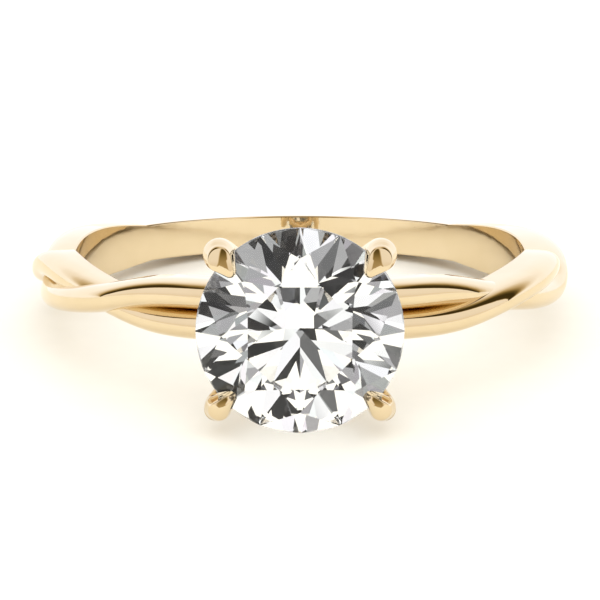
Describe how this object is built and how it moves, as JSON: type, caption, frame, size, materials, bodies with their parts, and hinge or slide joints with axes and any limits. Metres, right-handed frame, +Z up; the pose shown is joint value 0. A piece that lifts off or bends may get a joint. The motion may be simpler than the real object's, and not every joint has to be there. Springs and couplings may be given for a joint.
{
  "type": "twisted shank ring",
  "caption": "Finger ring with a shank of two twisted strands that runs into a plain band, and a round brilliant stone held by claws on a small basket head.",
  "frame": {"origin": "on the surface that the ring lies on, under the middle of its bounding box", "axes": "+Z up; -Y towards the stone, which stands in front and looks a little upwards; +X to the right as seen from the stone's side. The finger hole's axis leans 6.3 degrees from +Z towards +Y"},
  "size_m": [0.0204, 0.024, 0.0065],
  "materials": {
    "yellow_gold": "mirror-polished pale yellow gold",
    "clear_stone": "colourless, faceted and polished"
  },
  "bodies": {
    "root": {"twisted_shank_with_claws": "yellow_gold", "round_stone": "clear_stone"}
  },
  "joints": []
}
